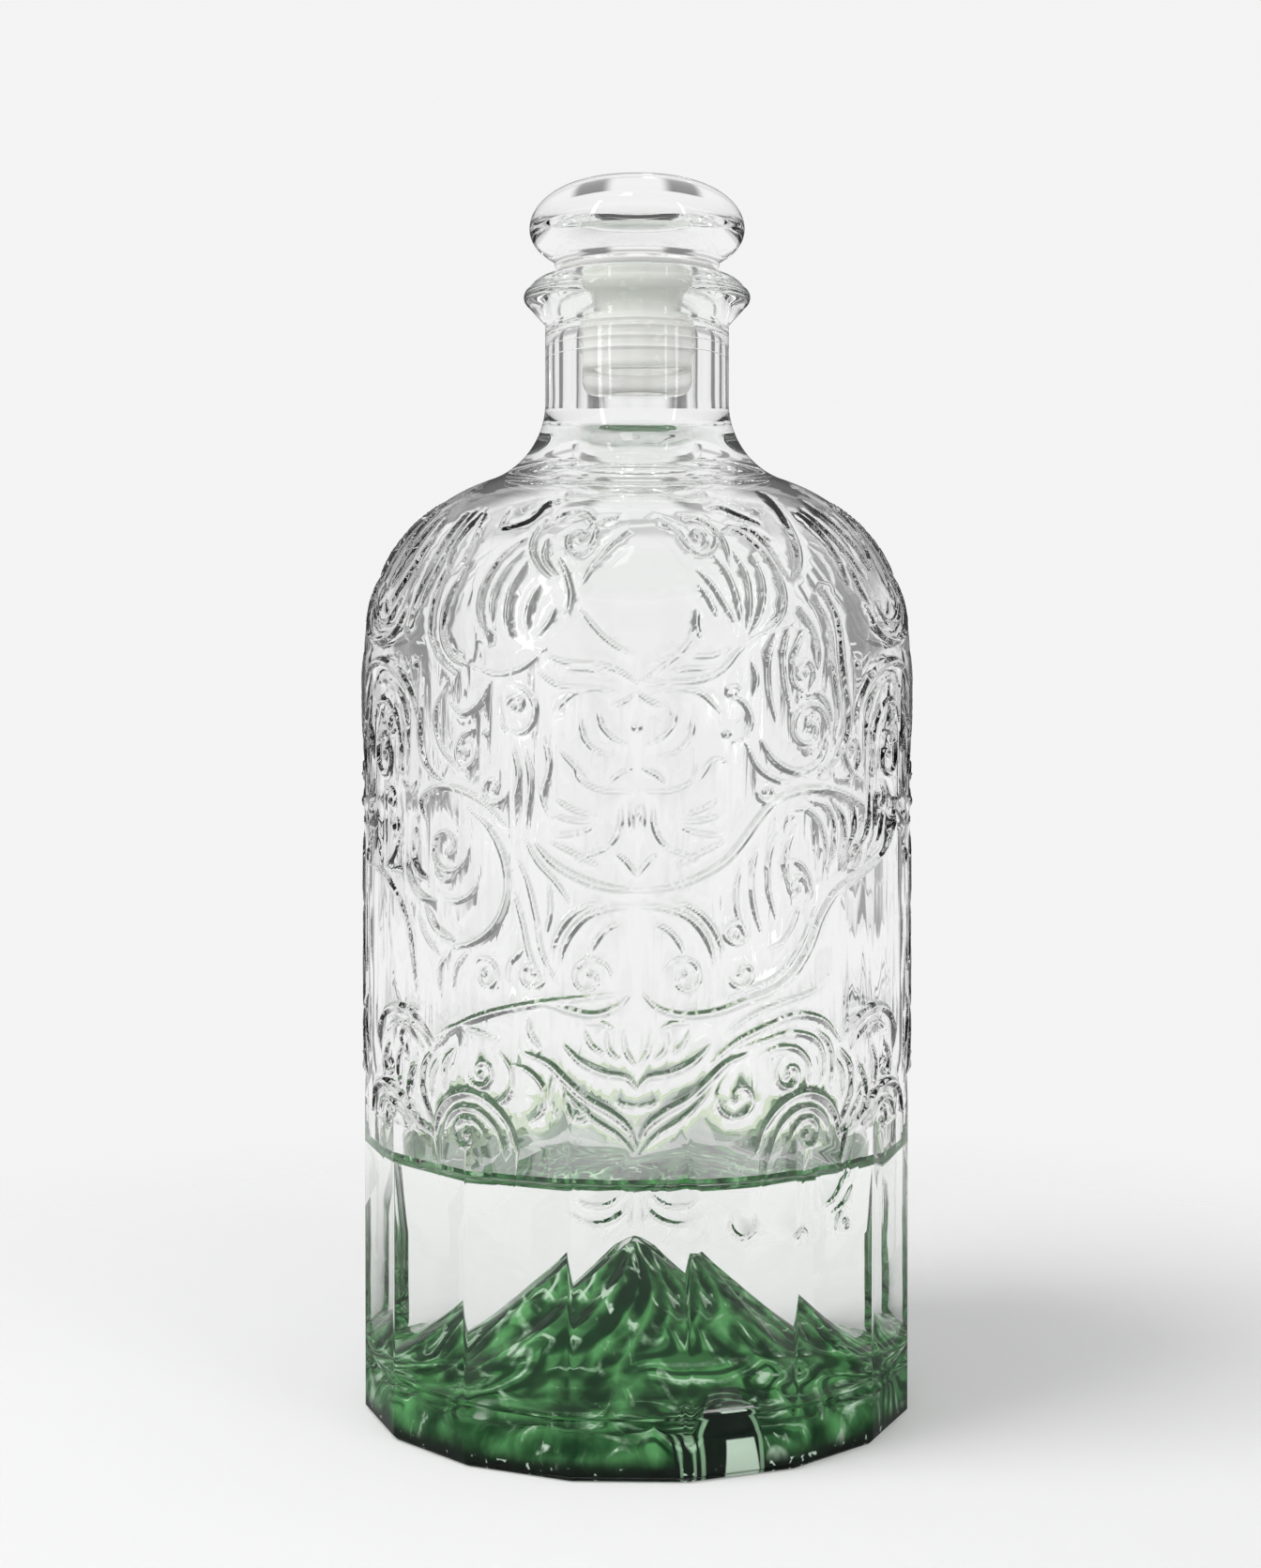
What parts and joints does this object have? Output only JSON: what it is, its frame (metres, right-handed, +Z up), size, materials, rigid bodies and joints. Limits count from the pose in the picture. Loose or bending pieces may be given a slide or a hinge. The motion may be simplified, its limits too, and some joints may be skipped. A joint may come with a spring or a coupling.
{
  "type": "liquor bottle",
  "caption": "Clear moulded spirits bottle with scroll relief, faceted foot, green mountain-shaped floor and a lift-out glass stopper.",
  "frame": {"origin": "centre of the bottle's heel ring, on the surface that the bottle stands on", "axes": "+Z up along the bottle's axis, -Y towards the bottle's front"},
  "size_m": [0.0914, 0.0914, 0.204],
  "materials": {
    "clear_glass": "fire-polished clear glass",
    "green_lacquer": "translucent glossy green lacquer",
    "clear_spirit": "clear liquid",
    "stopper_clear_glass": "polished clear glass",
    "translucent_sleeve": "translucent soft sleeve with a satin surface"
  },
  "bodies": {
    "bottle": {"bottle_glass": "clear_glass", "mountain_liner": "green_lacquer", "liquor": "clear_spirit"},
    "stopper": {"stopper_glass": "stopper_clear_glass", "stopper_seal": "translucent_sleeve"}
  },
  "joints": [
    {"name": "stopper_lift", "type": "slide", "parent": "bottle", "child": "stopper", "axis": [0, 0, 1], "range_m": [0, 0.06]}
  ]
}
